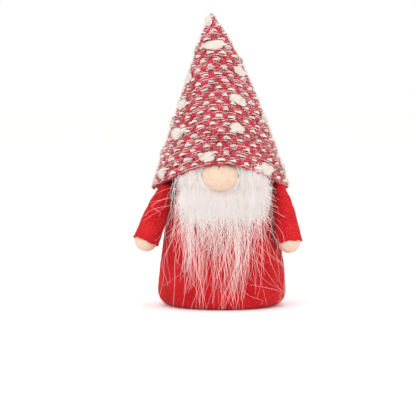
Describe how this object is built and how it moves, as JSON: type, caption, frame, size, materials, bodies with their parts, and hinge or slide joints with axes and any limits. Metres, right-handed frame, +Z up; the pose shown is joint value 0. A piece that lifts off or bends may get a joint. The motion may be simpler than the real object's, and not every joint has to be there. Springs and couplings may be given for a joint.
{
  "type": "stuffed gnome figurine",
  "caption": "Weighted standing gnome: tapered red felt body, hanging sleeves with wooden hands, ball nose, long white beard and a tall pointed knitted hat.",
  "frame": {"origin": "centre of the flat base, on the surface the figure stands on", "axes": "+Z up to the tip of the hat, the face looks along -Y, +X is the figure's own left"},
  "size_m": [0.0769, 0.0627, 0.134],
  "materials": {
    "red_felt": "matte brushed felt with a soft short nap",
    "red_marled_knit": "fuzzy hand-knit look, red yarn marled with off-white, cream wool lumps",
    "white_fur": "long-pile faux fur, soft sheen",
    "fur_backing": "knitted backing cloth, matte",
    "fibre_fill": "loose polyester fibre fill, matte",
    "pouch_cloth": "plain woven cloth, matte",
    "natural_wood": "unvarnished pale beech, sanded",
    "red_thread": "sewing thread, slight sheen",
    "clear_glue": "set hot-melt glue, satin",
    "grey_card": "uncoated card, matte",
    "sand_grains": "dry sand, matte"
  },
  "bodies": {
    "torso": {"body_bag": "red_felt", "base_panel": "red_felt", "base_card": "grey_card", "ballast_pouch": "pouch_cloth", "ballast_grains": "sand_grains", "body_stuffing": "fibre_fill", "base_seam_thread": "red_thread", "closing_stitches": "red_thread", "crown_gather_thread": "red_thread", "hat_knit": "red_marled_knit", "hat_stuffing": "fibre_fill", "hat_seam_yarn": "red_marled_knit", "hat_glue_bead": "clear_glue", "nose": "natural_wood", "nose_glue": "clear_glue", "beard_backing_top": "fur_backing", "beard_pile_top": "white_fur"},
    "beard": {"beard_backing_flap": "fur_backing", "beard_pile_flap": "white_fur"},
    "left_shoulder": {"left_shoulder_thread": "red_thread"},
    "left_arm": {"left_sleeve": "red_felt", "left_sleeve_stuffing": "fibre_fill", "left_hand": "natural_wood", "left_hand_glue": "clear_glue"},
    "right_shoulder": {"right_shoulder_thread": "red_thread"},
    "right_arm": {"right_sleeve": "red_felt", "right_sleeve_stuffing": "fibre_fill", "right_hand": "natural_wood", "right_hand_glue": "clear_glue"}
  },
  "joints": [
    {"name": "left_arm_swing", "type": "hinge", "parent": "torso", "child": "left_shoulder", "pos_m": [0.0259, -0.008, 0.0526], "axis": [-1, 0, 0], "range_deg": [0, 25]},
    {"name": "left_arm_lift", "type": "hinge", "parent": "left_shoulder", "child": "left_arm", "pos_m": [0.0259, -0.008, 0.0526], "axis": [0, -1, 0], "range_deg": [0, 45]},
    {"name": "right_arm_swing", "type": "hinge", "parent": "torso", "child": "right_shoulder", "pos_m": [-0.0259, -0.008, 0.0526], "axis": [-1, 0, 0], "range_deg": [-10, 25]},
    {"name": "right_arm_lift", "type": "hinge", "parent": "right_shoulder", "child": "right_arm", "pos_m": [-0.0259, -0.008, 0.0526], "axis": [0, 1, 0], "range_deg": [0, 45]},
    {"name": "beard_fold", "type": "hinge", "parent": "torso", "child": "beard", "pos_m": [0, -0.02404, 0.051], "axis": [-1, 0, 0], "range_deg": [0, 60]}
  ]
}
